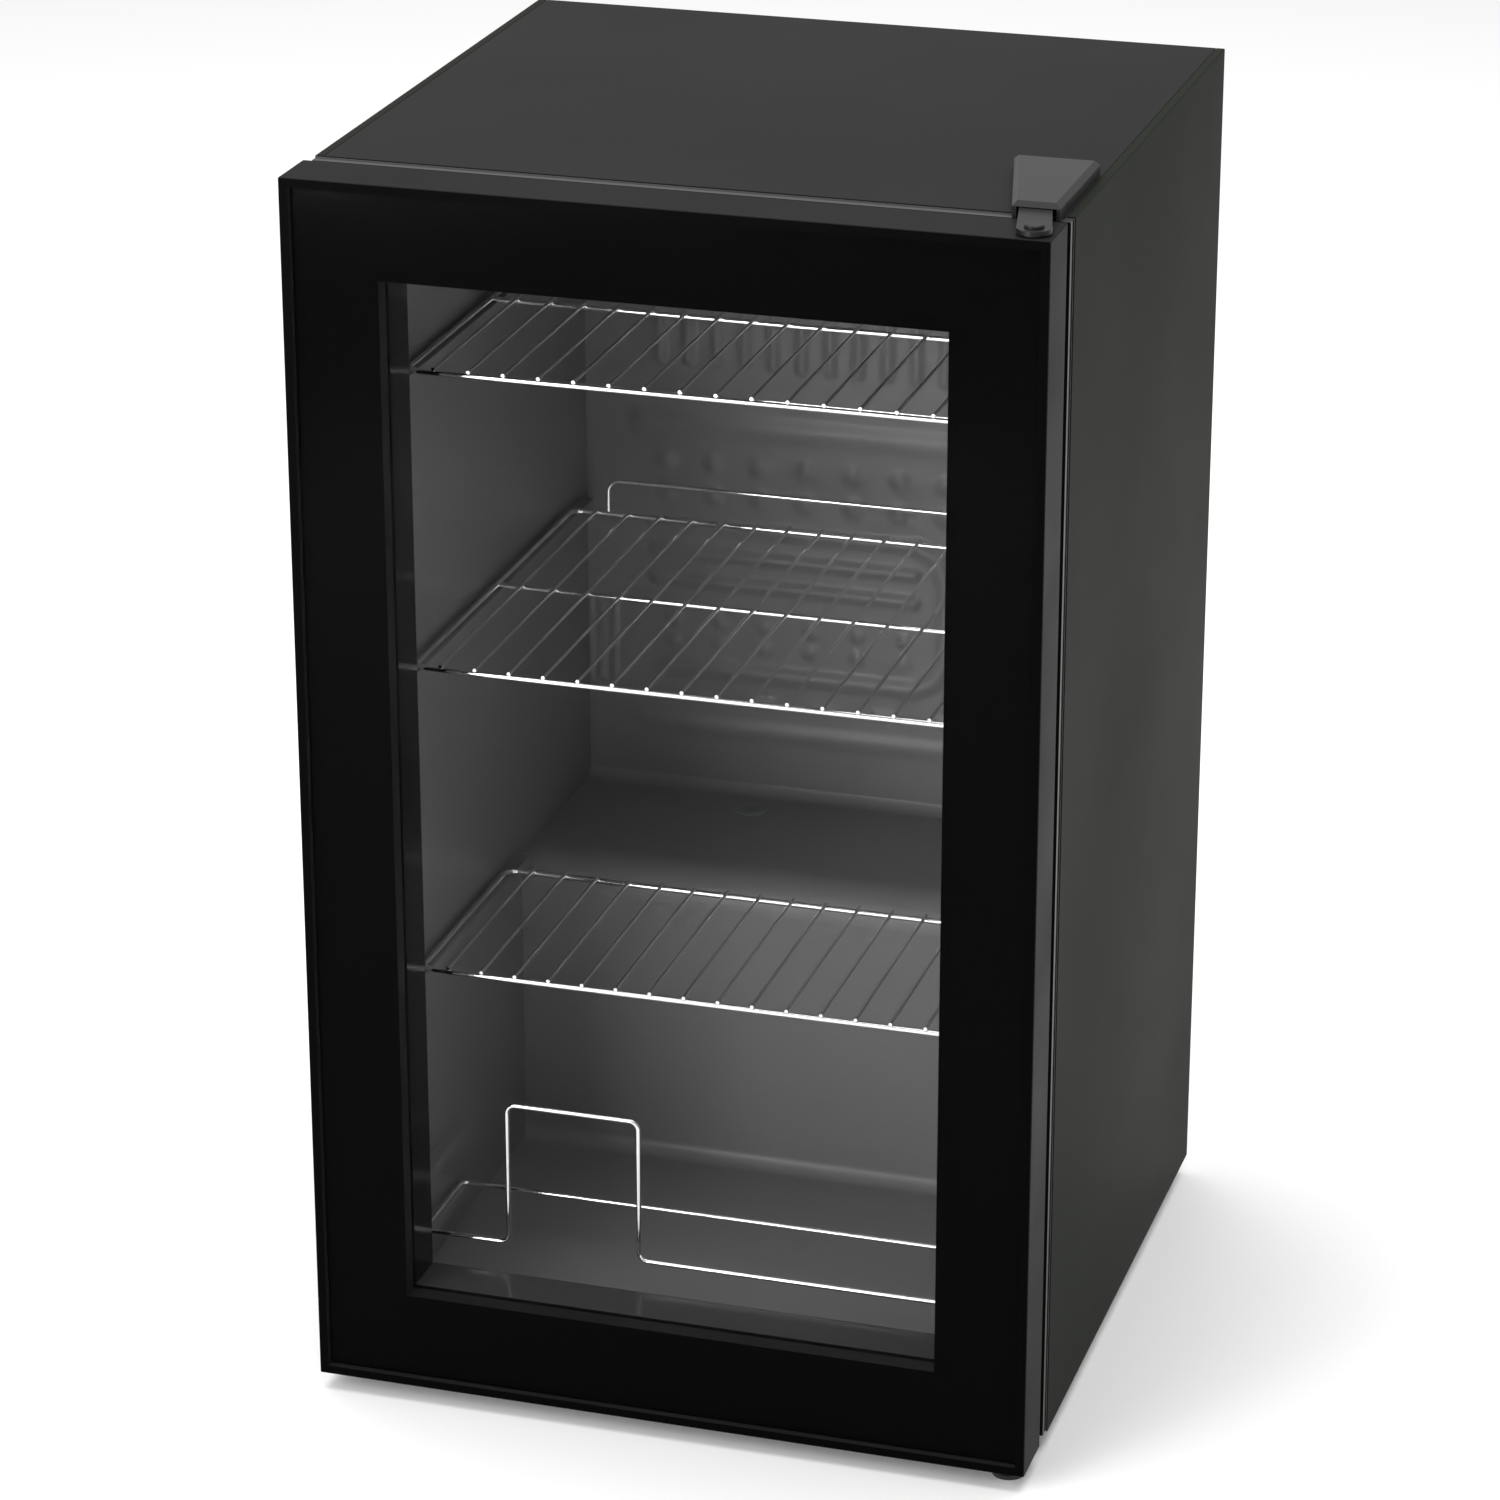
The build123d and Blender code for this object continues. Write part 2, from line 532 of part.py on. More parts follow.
def make_hinges():
    tongue_z = (DOOR_HEIGHT + DOOR_GAP, DOOR_HEIGHT + DOOR_GAP + BRACKET)
    bracket = hinge_plate(140.0, (CASE_HEIGHT, CASE_HEIGHT + BRACKET), tongue_z, *TOP_BRACKET_SIDES)
    bracket -= post(HINGE_X, HINGE_Y, (DOOR_HEIGHT, DOOR_HEIGHT + 10), PIN_RADIUS)
    for x, y in HINGE_SCREWS:
        bracket -= post(x, y, (CASE_HEIGHT - 1, CASE_HEIGHT + 10), SCREW_HOLE)
    keep("top_hinge_bracket", bracket)
    pin = post(HINGE_X, HINGE_Y, (DOOR_HEIGHT - BUSH_LENGTH + 1, tongue_z[1]), PIN_RADIUS)
    head = post(HINGE_X, HINGE_Y, (tongue_z[1], tongue_z[1] + 1.8), 6.0)
    head = fillet(head.edges().sort_by(Axis.Z)[-1], 1.2)
    keep("top_hinge_pin", pin + head)
    screws = [screw(x, y, CASE_HEIGHT + BRACKET, 15.0) for x, y in HINGE_SCREWS]
    keep("top_hinge_screws", Compound(children=screws))

    back, front, right, top = 151.0, 50.0, 463.0, CASE_HEIGHT + 10.0
    cover = plate([(410.5, back), (right, back), (right, front), (434.5, front)], (CASE_HEIGHT, top))
    cover = chamfer(cover.edges().group_by(Axis.Z)[-1], 3.0)
    wall = 1.6
    hollow = plate([(412.7, back - wall), (right - wall, back - wall), (right - wall, front + wall),
                    (436.2, front + wall)], (CASE_HEIGHT - 1, tongue_z[1] + 0.4))
    mouth = block((TOP_BRACKET_SIDES[0] - 0.4, TOP_BRACKET_SIDES[1] + 4.0), (front - 1, front + wall + 1),
                  (CASE_HEIGHT - 1, tongue_z[1] + 0.4))
    keep("hinge_cover", cover - hollow - mouth)

    low_z = (-DOOR_GAP * 2 - BRACKET, -DOOR_GAP * 2)
    low = hinge_plate(150.0, (-BRACKET, 0.0), low_z, 440.0, 462.0)
    low -= post(HINGE_X, HINGE_Y, (-10, 0), PIN_RADIUS)
    for x, y in BOTTOM_SCREWS:
        low -= post(x, y, (-10, 1), SCREW_HOLE)
    keep("bottom_hinge_bracket", low)
    low_pin = post(HINGE_X, HINGE_Y, (low_z[0], BUSH_LENGTH - 1), PIN_RADIUS)
    low_head = post(HINGE_X, HINGE_Y, (low_z[0] - 1.8, low_z[0]), 6.0)
    keep("bottom_hinge_pin", low_pin + low_head)
    washer = post(HINGE_X, HINGE_Y, (low_z[1], low_z[1] + 1.2), 9.0)
    washer -= post(HINGE_X, HINGE_Y, (-10, 10), PIN_RADIUS)
    keep("hinge_washer", washer)
    flipped = []
    for x, y in BOTTOM_SCREWS:
        flipped.append(Pos(x, y, -BRACKET) * Rot(180, 0, 0) * Pos(-x, -y, 0) * screw(x, y, 0.0, 15.0))
    keep("bottom_hinge_screws", Compound(children=flipped))


# ---------------------------------------------------------------- feet

def make_feet():
    nuts = []
    for side, (x, y) in FRONT_FEET.items():
        pad = post(x, y, (-FOOT_HEIGHT, -FOOT_HEIGHT + FOOT_PAD), FOOT_RADIUS)
        pad = fillet(pad.edges().filter_by(GeomType.CIRCLE), 1.0)
        grip = Pos(x, y, -FOOT_PAD) * extrude(RegularPolygon(9.0, 6), amount=5.0)
        stud = post(x, y, (-FOOT_PAD, 22.0), STUD_RADIUS)
        keep("levelling_foot_" + side, pad + grip + stud)
        nut = Pos(x, y, SHEET) * extrude(RegularPolygon(7.5, 6), amount=7.0)
        nuts.append(nut - post(x, y, (0, 12), STUD_RADIUS + PIN_CLEARANCE))
    keep("foot_nuts", Compound(children=nuts))
    feet = []
    for x, y in BACK_FEET:
        foot = post(x, y, (-FOOT_HEIGHT, 0), FOOT_RADIUS)
        feet.append(fillet(foot.edges().filter_by(GeomType.CIRCLE), 1.0))
    keep("back_feet", Compound(children=feet))


# ---------------------------------------------------------------- compressor bay

def make_compressor():
    x, y = COMPRESSOR_X, COMPRESSOR_Y
    seam = (COMPRESSOR_BASE + COMPRESSOR_TOP) / 2
    outline = Rectangle(150, 106)
    outline = fillet(outline.vertices(), 50)
    shell = Pos(x, y, COMPRESSOR_BASE) * extrude(outline, amount=COMPRESSOR_TOP - COMPRESSOR_BASE)
    shell = fillet(shell.edges().group_by(Axis.Z)[-1], 34)
    shell = fillet(shell.edges().group_by(Axis.Z)[0], 16)
    band = fillet(Rectangle(154, 110).vertices(), 52)
    shell += Pos(x, y, seam - 5) * extrude(band, amount=10)
    legs = block((x - MOUNT_X - 14, x + MOUNT_X + 14), (y - MOUNT_Y - 11, y + MOUNT_Y + 11),
                 (COMPRESSOR_BASE - 1.0, COMPRESSOR_BASE + 2.0))
    legs = fillet(legs.edges().filter_by(Axis.Z), 10)
    shell += legs
    for hole_x, hole_y in mount_points():
        shell -= post(hole_x, hole_y, (0, 40), MOUNT_NECK)
    shell += bar_y(SUCTION_STUB[0], (y, SUCTION_STUB[1]), SUCTION_STUB[2], TUBE + 0.8)
    shell += bar_x((x, DISCHARGE_STUB[0]), DISCHARGE_STUB[1], DISCHARGE_STUB[2], CONDENSER_TUBE + 0.8)
    keep("compressor", shell)

    base = block((SHEET, WIDTH - SHEET), (BAY_FRONT, 470.0), (0.0, PLATE))
    base += block((SHEET, WIDTH - SHEET), (470.0 - PLATE, 470.0), (0.0, 34.0))
    for hole_x, hole_y in mount_points():
        base -= post(hole_x, hole_y, (-1, 5), MOUNT_BOLT)
    base -= bar_y(GLAND_X, (465, 475), GLAND_Z, 8.0)
    for row in range(5):
        for index in range(5):
            vent_x = 92 + index * 22
            base -= block((vent_x, vent_x + 14), (344 + row * 18, 349 + row * 18), (-1, 5))
    keep("compressor_plate", base)

    mounts, bolts = [], []
    for hole_x, hole_y in mount_points():
        rubber = post(hole_x, hole_y, (PLATE, COMPRESSOR_BASE - 1.0), MOUNT_FOOT)
        rubber += post(hole_x, hole_y, (COMPRESSOR_BASE - 1.0, COMPRESSOR_BASE + 2.0), MOUNT_NECK)
        rubber += post(hole_x, hole_y, (COMPRESSOR_BASE + 2.0, COMPRESSOR_BASE + 5.0), MOUNT_HEAD)
        mounts.append(rubber - post(hole_x, hole_y, (-1, 40), MOUNT_BOLT))
        bolt = post(hole_x, hole_y, (-2.0, COMPRESSOR_BASE + 12.0), MOUNT_BOLT)
        bolt += Pos(hole_x, hole_y, -4.0) * extrude(RegularPolygon(5.5, 6), amount=4.0)
        bolt += Pos(hole_x, hole_y, COMPRESSOR_BASE + 5.0) * extrude(RegularPolygon(5.5, 6), amount=5.0)
        bolts.append(bolt)
    keep("compressor_mounts", Compound(children=mounts))
    keep("compressor_bolts", Compound(children=bolts))

    side = x - 77
    box = block((side - 38, side), (y - 30, y + 30), (56, 122))
    box = fillet(box.edges().filter_by(Axis.Z).sort_by(Axis.X)[:2], 8)
    keep("terminal_box", box)

    tray_left, tray_right = DRAIN_X - 22, x + 70
    tray = block((tray_left, tray_right), (y - 58, y + 56), (COMPRESSOR_TOP, TRAY_TOP))
    tray = fillet(tray.edges().filter_by(Axis.Z), 14)
    hollow = block((tray_left + 2, tray_right - 2), (y - 56, y + 54), (COMPRESSOR_TOP + 2, TRAY_TOP + 5))
    hollow = fillet(hollow.edges().filter_by(Axis.Z), 12)
    keep("drip_tray", tray - hollow)

    gland = bar_y(GLAND_X, (462.0, 476.0), GLAND_Z, 8.0)
    gland += bar_y(GLAND_X, (470.0, 473.0), GLAND_Z, 11.0)
    gland += bar_y(GLAND_X, (465.5, 468.5), GLAND_Z, 10.0)
    gland -= bar_y(GLAND_X, (455.0, 480.0), GLAND_Z, 4.0)
    keep("cord_gland", gland)


def mount_points():
    return [(COMPRESSOR_X + sx * MOUNT_X, COMPRESSOR_Y + sy * MOUNT_Y) for sx in (-1, 1) for sy in (-1, 1)]


def make_condenser():
    left, right = CONDENSER_LEFT + 18, CONDENSER_RIGHT - 18
    points = []
    for run in range(CONDENSER_RUNS):
        z = CONDENSER_LOW + run * CONDENSER_PITCH
        ends = (right, left) if run % 2 == 0 else (left, right)
        points += [(ends[0], CONDENSER_Y, z), (ends[1], CONDENSER_Y, z)]
    top_z = points[-1][2]
    points = [(right, CONDENSER_Y, CONDENSER_LOW - 62)] + points
    points[-1] = (right + 22, CONDENSER_Y, top_z)
    points.append((right + 22, CONDENSER_Y, CONDENSER_LOW - 62))
    keep("condenser_tube", tube(points, CONDENSER_TUBE, 10.0))

    wires = []
    low = CONDENSER_LOW - 16
    high = top_z + 16
    pitch = (right - left - 28) / (CONDENSER_WIRE_COUNT - 1)
    reach = CONDENSER_TUBE + CONDENSER_WIRE + 0.02
    for index in range(CONDENSER_WIRE_COUNT):
        x = left + 14 + index * pitch
        for side in (-1, 1):
            wires.append(post(x, CONDENSER_Y + side * reach, (low, high), CONDENSER_WIRE))
    keep("condenser_wires", Compound(children=wires))

    brackets = []
    grip = CONDENSER_TUBE + 0.1
    for x in (left + 4, right - 12):
        for z in (CONDENSER_LOW + CONDENSER_PITCH * 1.5, CONDENSER_LOW + CONDENSER_PITCH * 7.5):
            hook = block((x, x + 8), (CASE_BACK, OVERALL_DEPTH), (z + 31, z + 35))
            hook += block((x, x + 8), (CASE_BACK, CASE_BACK + 3), (z - 34, z + 35))
            hook += block((x, x + 8), (CONDENSER_Y + grip, OVERALL_DEPTH), (z - 34, z + 35))
            brackets.append(hook)
    keep("condenser_brackets", Compound(children=brackets))
    screws = []
    for x, z in BACK_SCREWS:
        turned = Pos(x, CASE_BACK, z) * Rot(-90, 0, 0) * screw(0, 0, 0, 12.0)
        screws.append(turned)
    keep("back_panel_screws", Compound(children=screws))


def make_pipes():
    right = CONDENSER_RIGHT - 18
    bottom = CONDENSER_LOW - 62
    start_x, start_y, start_z = DISCHARGE_STUB
    discharge = [
        (start_x, start_y, start_z),
        (right, start_y, start_z),
        (right, CONDENSER_Y, start_z),
        (right, CONDENSER_Y, bottom),
    ]
    keep("discharge_tube", tube(discharge, CONDENSER_TUBE, 7.0))

    drier_x = right + 22
    drier = post(drier_x, CONDENSER_Y, (bottom - 84, bottom - 14), DRIER_RADIUS)
    drier = fillet(drier.edges().filter_by(GeomType.CIRCLE), 4.0)
    drier += post(drier_x, CONDENSER_Y, (bottom - 15, bottom), CONDENSER_TUBE)
    keep("filter_drier", drier)
    entry_x, entry_z = TUBE_ENTRY
    plate_back = EVAPORATOR_POCKET[1][0] + EVAPORATOR_SHEET
    lane = CASE_BACK + 5.0
    capillary = [
        (drier_x, CONDENSER_Y, bottom - 84),
        (drier_x, CONDENSER_Y, bottom - 112),
        (drier_x, lane, bottom - 112),
        (325.0, lane, bottom - 112),
        (325.0, lane, entry_z - 4),
        (entry_x + 4, lane, entry_z - 4),
        (entry_x + 4, plate_back, entry_z - 4),
    ]
    keep("capillary_tube", tube(capillary, CAPILLARY, 4.0))
    start_x, start_y, start_z = SUCTION_STUB
    suction = [
        (start_x, start_y, start_z),
        (start_x, lane + 1, start_z),
        (entry_x - 3, lane + 1, start_z),
        (entry_x - 3, lane + 1, entry_z + 2),
        (entry_x - 3, plate_back, entry_z + 2),
    ]
    keep("suction_tube", tube(suction, TUBE, 8.0))


make_case()
make_liner()
make_foam()
make_evaporator()
make_drain()
make_shelves()
make_controls()
make_door()
make_hinges()
make_feet()
make_compressor()
make_condenser()
make_pipes()

os.makedirs("parts", exist_ok=True)
for name, shape in NODES.items():
    export_step(shape.moved(SHOP_TO_PART), os.path.join("parts", name + ".step"))
    print(name, len(shape.solids()), round(shape.volume))
print(len(NODES), "nodes")
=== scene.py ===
import json
import math

import bpy
import numpy as np
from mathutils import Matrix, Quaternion, Vector


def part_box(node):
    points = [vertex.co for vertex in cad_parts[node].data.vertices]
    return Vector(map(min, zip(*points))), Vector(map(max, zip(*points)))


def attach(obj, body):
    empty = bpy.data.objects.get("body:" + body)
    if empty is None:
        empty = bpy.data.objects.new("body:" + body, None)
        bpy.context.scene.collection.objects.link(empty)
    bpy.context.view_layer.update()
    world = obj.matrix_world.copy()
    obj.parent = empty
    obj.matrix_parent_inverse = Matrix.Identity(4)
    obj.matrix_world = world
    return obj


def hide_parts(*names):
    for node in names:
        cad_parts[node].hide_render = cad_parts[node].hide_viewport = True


# The glass door merchandiser's looks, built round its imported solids. Lengths written as plain numbers in
# calls of at() are millimetres from the door's front, bottom, left corner, as in the CAD source.
MM = 0.001

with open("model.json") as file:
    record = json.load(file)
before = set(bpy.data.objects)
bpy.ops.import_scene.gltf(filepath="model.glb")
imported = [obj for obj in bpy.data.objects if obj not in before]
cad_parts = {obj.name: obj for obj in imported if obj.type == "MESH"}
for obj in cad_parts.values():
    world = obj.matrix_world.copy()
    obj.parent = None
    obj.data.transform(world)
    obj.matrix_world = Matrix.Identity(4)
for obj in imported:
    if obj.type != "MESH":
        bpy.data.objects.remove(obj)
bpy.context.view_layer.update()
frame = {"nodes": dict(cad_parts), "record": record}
DOOR_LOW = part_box("door_frame")[0]
DOOR_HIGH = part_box("door_frame")[1]
DOOR_WIDTH = (DOOR_HIGH.x - DOOR_LOW.x) / MM
CASE_HEIGHT = (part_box("side_panel_left")[1].z - DOOR_LOW.z) / MM


def at(x, y, z):
    """A point given in millimetres from the door's corner, as metres in the row frame."""
    return Vector((DOOR_LOW.x + x * MM, DOOR_LOW.y + y * MM, DOOR_LOW.z + z * MM))


# ---------------------------------------------------------------- materials

def surface(name, color, rough, shade=0.12, patch=9.0, grain=0.0, grain_size=600.0, metallic=0.0,
            specular=0.5, coat=0.0, rough_shade=0.06, stretch=(1, 1, 1)):
    """A material with soft colour patches, an uneven sheen and a fine bumpy grain."""
    material = bpy.data.materials.new(name)
    material.use_nodes = True
    tree = material.node_tree
    shader = tree.nodes["Principled BSDF"]
    shader.inputs["Metallic"].default_value = metallic
    shader.inputs["Specular IOR Level"].default_value = specular
    shader.inputs["Coat Weight"].default_value = coat
    shader.inputs["Coat Roughness"].default_value = 0.08
    place = tree.nodes.new("ShaderNodeTexCoord")
    mapping = tree.nodes.new("ShaderNodeMapping")
    mapping.inputs["Scale"].default_value = stretch
    tree.links.new(place.outputs["Object"], mapping.inputs["Vector"])
    cloud = tree.nodes.new("ShaderNodeTexNoise")
    cloud.inputs["Scale"].default_value = patch
    cloud.inputs["Detail"].default_value = 4.0
    tree.links.new(mapping.outputs["Vector"], cloud.inputs["Vector"])
    ramp = tree.nodes.new("ShaderNodeValToRGB")
    low, high = ramp.color_ramp.elements
    low.position, high.position = 0.3, 0.7
    low.color = [c * (1 - shade) for c in color] + [1]
    high.color = [min(c * (1 + shade), 1.0) for c in color] + [1]
    tree.links.new(cloud.outputs["Fac"], ramp.inputs["Fac"])
    tree.links.new(ramp.outputs["Color"], shader.inputs["Base Color"])
    sheen = tree.nodes.new("ShaderNodeMapRange")
    sheen.inputs["From Min"].default_value = 0.3
    sheen.inputs["From Max"].default_value = 0.7
    sheen.inputs["To Min"].default_value = max(rough - rough_shade, 0.02)
    sheen.inputs["To Max"].default_value = min(rough + rough_shade, 1.0)
    tree.links.new(cloud.outputs["Fac"], sheen.inputs["Value"])
    tree.links.new(sheen.outputs["Result"], shader.inputs["Roughness"])
    if grain:
        fine = tree.nodes.new("ShaderNodeTexNoise")
        fine.inputs["Scale"].default_value = grain_size
        fine.inputs["Detail"].default_value = 2.0
        tree.links.new(mapping.outputs["Vector"], fine.inputs["Vector"])
        bump = tree.nodes.new("ShaderNodeBump")
        bump.inputs["Strength"].default_value = 1.0
        bump.inputs["Distance"].default_value = grain * MM
        tree.links.new(fine.outputs["Fac"], bump.inputs["Height"])
        tree.links.new(bump.outputs["Normal"], shader.inputs["Normal"])
    return material


def clear(name, tint, alpha, rough):
    """Thin clear glass or plastic with a faintly uneven sheen."""
    material = bpy.data.materials.new(name)
    material.use_nodes = True
    tree = material.node_tree
    shader = tree.nodes["Principled BSDF"]
    shader.inputs["Base Color"].default_value = (*tint, 1)
    place = tree.nodes.new("ShaderNodeTexCoord")
    cloud = tree.nodes.new("ShaderNodeTexNoise")
    cloud.inputs["Scale"].default_value = 6.0
    tree.links.new(place.outputs["Object"], cloud.inputs["Vector"])
    sheen = tree.nodes.new("ShaderNodeMapRange")
    sheen.inputs["To Min"].default_value = rough * 0.6
    sheen.inputs["To Max"].default_value = rough * 1.4
    tree.links.new(cloud.outputs["Fac"], sheen.inputs["Value"])
    tree.links.new(sheen.outputs["Result"], shader.inputs["Roughness"])
    shader.inputs["Alpha"].default_value = alpha
    shader.inputs["Specular IOR Level"].default_value = 0.3
    return material


def paint_light_by_facing(material, axis, start, full, color):
    """Paints light or shade into the colour: mixes a second colour in where a face points along an axis."""
    tree = material.node_tree
    shader = tree.nodes["Principled BSDF"]
    old = shader.inputs["Base Color"].links[0].from_socket
    place = tree.nodes.new("ShaderNodeTexCoord")
    split = tree.nodes.new("ShaderNodeSeparateXYZ")
    facing = tree.nodes.new("ShaderNodeMapRange")
    facing.inputs["From Min"].default_value = start
    facing.inputs["From Max"].default_value = full
    mix = tree.nodes.new("ShaderNodeMix")
    mix.data_type = "RGBA"
    mix.inputs["B"].default_value = (*color, 1)
    tree.links.new(place.outputs["Normal"], split.inputs["Vector"])
    tree.links.new(split.outputs[axis], facing.inputs["Value"])
    tree.links.new(facing.outputs["Result"], mix.inputs["Factor"])
    tree.links.new(old, mix.inputs["A"])
    tree.links.new(mix.outputs["Result"], shader.inputs["Base Color"])
    return material


MATERIALS = {
    "case_black": surface("case_powder_coat", (0.0205, 0.0205, 0.0205), 0.38, shade=0.03, patch=3.0,
                          grain=0.02, grain_size=900, specular=0.01),
    # The door moulding's forward-facing faces are painted near black: painted shade where no light falls
    # from the front.
    "door_black": paint_light_by_facing(surface("door_moulding_shaded_front", (0.0160, 0.0160, 0.0160), 0.34, shade=0.04,
                                      grain=0.02, grain_size=1400, specular=0.01),
                              "Y", -0.6, -0.95, (0.0014, 0.0014, 0.0014)),
    "clear_glass": clear("door_glass", (0.01, 0.01, 0.01), 0.02, 0.02),
    "liner_grey": surface("liner_plastic", (0.195, 0.195, 0.195), 0.34, shade=0.03, patch=4.0, grain=0.004,
                          grain_size=700, specular=0.3, rough_shade=0.0),
    "foam_cream": surface("poured_foam", (0.74, 0.66, 0.42), 0.9, grain=0.4, grain_size=300),
    "chrome_wire": surface("chrome_plate", (0.92, 0.92, 0.93), 0.09, shade=0.03, patch=60, metallic=1.0,
                           rough_shade=0.04),
    "seal_black": surface("seal_vinyl", (0.012, 0.012, 0.012), 0.55, grain=0.03, grain_size=1200,
                          specular=0.2),
    "magnet_strip": surface("magnet_rubber", (0.05, 0.042, 0.038), 0.8, grain=0.05),
    "zinc_steel": surface("zinc_plate", (0.52, 0.53, 0.55), 0.34, shade=0.1, patch=45, metallic=1.0,
                          rough_shade=0.1, grain=0.02, grain_size=500),
    "bracket_black": surface("bracket_paint", (0.012, 0.012, 0.012), 0.3, grain=0.03, grain_size=900,
                             specular=0.15),
    "compressor_black": surface("compressor_enamel", (0.016, 0.016, 0.017), 0.22, grain=0.12, grain_size=160,
                                coat=0.4),
    "condenser_black": surface("condenser_paint", (0.016, 0.016, 0.016), 0.45, grain=0.03, grain_size=900),
    "copper": surface("copper_tube", (0.62, 0.30, 0.17), 0.28, shade=0.22, patch=35, metallic=1.0,
                      rough_shade=0.12),
    "aluminium": surface("mill_aluminium", (0.62, 0.62, 0.63), 0.3, shade=0.06, patch=40, metallic=1.0,
                         rough_shade=0.08, stretch=(1, 1, 8)),
    "acetal_bush": surface("acetal", (0.05, 0.05, 0.05), 0.4),
    "control_grey": surface("control_moulding", (0.10, 0.10, 0.104), 0.4, shade=0.04, grain=0.03,
                            grain_size=1500),
    "control_black": surface("control_gloss", (0.016, 0.016, 0.016), 0.2, grain=0.01, grain_size=1200),
    "lens_clear": clear("lens_frosted", (0.85, 0.87, 0.88), 0.55, 0.45),
    "board_white": surface("lamp_board_mask", (0.72, 0.72, 0.70), 0.5, shade=0.05),
    "drain_grey": surface("drain_plastic", (0.20, 0.205, 0.21), 0.5, grain=0.03, grain_size=900),
    "hinge_grey": surface("hinge_cap_gloss", (0.030, 0.030, 0.0305), 0.2, shade=0.03, grain=0.005,
                          grain_size=1200, specular=0.06),
    "foot_black": surface("foot_plastic", (0.012, 0.012, 0.012), 0.6, grain=0.05, grain_size=700,
                          specular=0.2),
    "grommet": surface("grommet_rubber", (0.02, 0.02, 0.02), 0.7, grain=0.05, grain_size=700),
}
PRINT = surface("printed_enamel", (0.0010, 0.0010, 0.0010), 0.10, shade=0.02, rough_shade=0.02,
                specular=0.012)
# The side panels use a slightly darker, greener copy of the case coat: painted shade on the sides turned
# from the light.
SHADED_SIDE_PAINT = surface("side_powder_coat_shaded", (0.0185, 0.0206, 0.0166), 0.40, shade=0.03, patch=3.0, grain=0.02,
                     grain_size=900, specular=0.006)
# The tunnel moulding's upward-facing faces are painted lighter: painted light falling from above on a dark
# moulding.
TUNNEL = paint_light_by_facing(surface("tunnel_moulding_lit_tops", (0.0060, 0.0060, 0.0060), 0.16, shade=0.05,
                             rough_shade=0.02, specular=0.07),
                     "Z", 0.6, 0.95, (0.05, 0.05, 0.05))
SPACER = surface("spacer_anodised", (0.012, 0.012, 0.012), 0.4, shade=0.05, rough_shade=0.03, specular=0.08)
SPECIAL = {
    "side_panel_left": SHADED_SIDE_PAINT,
    "side_panel_right": SHADED_SIDE_PAINT,
    "door_inner_frame": TUNNEL,
    "front_frame": TUNNEL,
    "glass_spacer": SPACER,
    "top_hinge_pin": MATERIALS["bracket_black"],
}

for row in frame["record"]["subparts"]:
    node = frame["nodes"][row["node"]]
    node.data.materials.clear()
    node.data.materials.append(SPECIAL.get(row["node"], MATERIALS[row["material_slot"]]))


# ---------------------------------------------------------------- mesh helpers

def add_mesh(name, vertices, faces, material, body, smooth_angle=None):
    mesh = bpy.data.meshes.new(name)
    mesh.from_pydata([tuple(v) for v in vertices], [], faces)
    mesh.validate()
    mesh.update()
    piece = bpy.data.objects.new(name, mesh)
    bpy.context.scene.collection.objects.link(piece)
    mesh.materials.append(material)
    if smooth_angle is not None:
        mesh.shade_smooth()
        mesh.set_sharp_from_angle(angle=math.radians(smooth_angle))
    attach(piece, body)
    return piece


def frame_ring(name, profile, x, z, material, body, smooth_angle=30):
    """A mitred frame: a closed section of (inset from the outline, depth) points run round a rectangle."""
    vertices, faces = [], []
    count = len(profile)
    for inset, y in profile:
        vertices += [at(x[0] + inset, y, z[0] + inset), at(x[1] - inset, y, z[0] + inset),
                     at(x[1] - inset, y, z[1] - inset), at(x[0] + inset, y, z[1] - inset)]
    for index in range(count):
        following = (index + 1) % count
        for corner in range(4):
            beside = (corner + 1) % 4
            faces.append((index * 4 + corner, following * 4 + corner, following * 4 + beside,
                          index * 4 + beside))
    return add_mesh(name, vertices, faces, material, body, smooth_angle)


# ---------------------------------------------------------------- printed border and magnetic seal

PANE_EDGE = 6.6
DOOR_TALL = 800
WINDOW_SIDE = 60.0
WINDOW_LOW = 63.0
WINDOW_HIGH = 740.0
PRINT_DEPTH = (4.30, 4.42)
SEAL_MIRROR = 52.0
FLOOR_REACH = 30.0


def make_print():
    """The black enamel fused to the inside of the front pane, round the window."""
    x = (PANE_EDGE, DOOR_WIDTH - PANE_EDGE)
    z = (PANE_EDGE, DOOR_TALL - PANE_EDGE)
    vertices, faces = [], []
    for y in PRINT_DEPTH:
        for a, b in ((x, z), ((WINDOW_SIDE, DOOR_WIDTH - WINDOW_SIDE), (WINDOW_LOW, WINDOW_HIGH))):
            vertices += [at(a[0], y, b[0]), at(a[1], y, b[0]), at(a[1], y, b[1]), at(a[0], y, b[1])]
    for corner in range(4):
        beside = (corner + 1) % 4
        front_out, front_in, back_out, back_in = corner, 4 + corner, 8 + corner, 12 + corner
        faces.append((front_out, beside, 4 + beside, front_in))
        faces.append((back_out, back_in, 12 + beside, 8 + beside))
        faces.append((front_out, back_out, 8 + beside, beside))
        faces.append((front_in, 4 + beside, 12 + beside, back_in))
    return add_mesh("glass_print", vertices, faces, PRINT, "door")


def make_seal():
    """The door seal: a bellows with a magnet pocket at its back."""
    half = [(17.6, 41.0), (16.3, 42.4), (16.3, 43.0), (18.4, 44.6), (16.3, 46.2), (16.3, 46.8), (18.2, 48.3),
            (17.0, 49.2), (16.4, 50.0), (16.4, 51.6), (17.0, 52.4), (18.2, 52.75), (26.0, 52.85)]
    profile = half + [(SEAL_MIRROR - inset, y) for inset, y in reversed(half[:-1])]
    seal = frame_ring("seal_bellows", profile, (0, DOOR_WIDTH), (0, CASE_HEIGHT), MATERIALS["seal_black"],
                      "door", 50)
    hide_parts("door_gasket")


# ---------------------------------------------------------------- embossed rear wall

